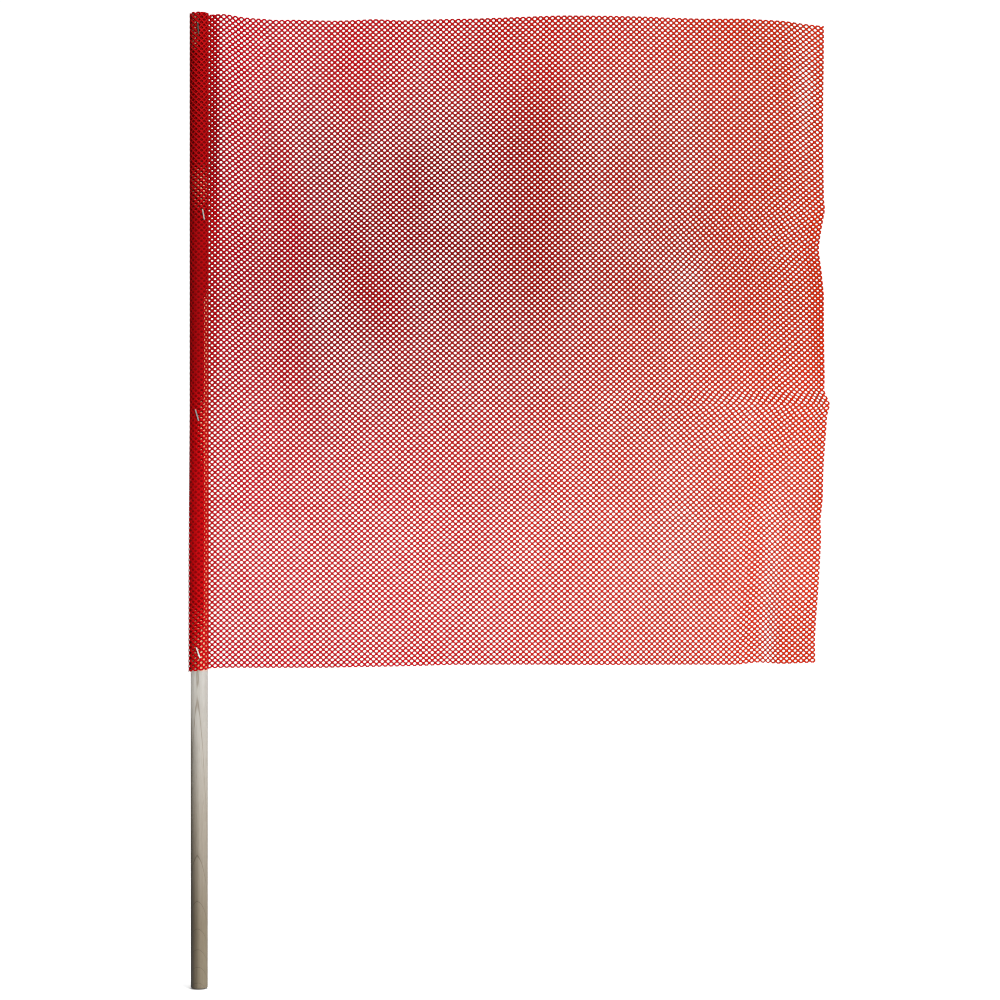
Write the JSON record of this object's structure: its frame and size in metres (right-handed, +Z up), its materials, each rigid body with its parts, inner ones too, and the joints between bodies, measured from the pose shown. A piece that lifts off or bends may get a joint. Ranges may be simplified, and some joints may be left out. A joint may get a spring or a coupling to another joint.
{
  "type": "hand-held mesh warning flag",
  "caption": "Square flag of open red net wrapped round the top of a round wooden staff and stapled to it; the net swings and folds.",
  "frame": {"origin": "centre of the staff's bottom end", "axes": "+Z up the staff, +X from the staff to the flag's free edge, -Y out of the stapled front"},
  "size_m": [0.5971, 0.0189, 0.9144],
  "materials": {
    "staff_wood": "bare, lightly sanded, a little grey with age",
    "flag_net": "knitted open net of bright red yarn, cut edges left unhemmed",
    "staple_wire": "bright drawn wire"
  },
  "bodies": {
    "staff": {"staff": "staff_wood", "flag_sleeve": "flag_net", "staple_1": "staple_wire", "staple_2": "staple_wire", "staple_3": "staple_wire", "staple_4": "staple_wire"},
    "panel_1": {"flag_panel_1": "flag_net"},
    "panel_2": {"flag_panel_2": "flag_net"},
    "panel_3": {"flag_panel_3": "flag_net"},
    "panel_4": {"flag_panel_4": "flag_net"}
  },
  "joints": [
    {"name": "flag_swing", "type": "hinge", "parent": "staff", "child": "panel_1", "pos_m": [0.0105, 0.00881, 0.6058], "axis": [0, 0, 1], "range_deg": [-90, 90]},
    {"name": "cloth_fold_1", "type": "hinge", "parent": "panel_1", "child": "panel_2", "pos_m": [0.1605, 0.00881, 0.6058], "axis": [0, 0, 1], "range_deg": [-75, 75]},
    {"name": "cloth_fold_2", "type": "hinge", "parent": "panel_2", "child": "panel_3", "pos_m": [0.3105, 0.00881, 0.6058], "axis": [0, 0, 1], "range_deg": [-75, 75]},
    {"name": "cloth_fold_3", "type": "hinge", "parent": "panel_3", "child": "panel_4", "pos_m": [0.4605, 0.00881, 0.6058], "axis": [0, 0, 1], "range_deg": [-75, 75]}
  ]
}
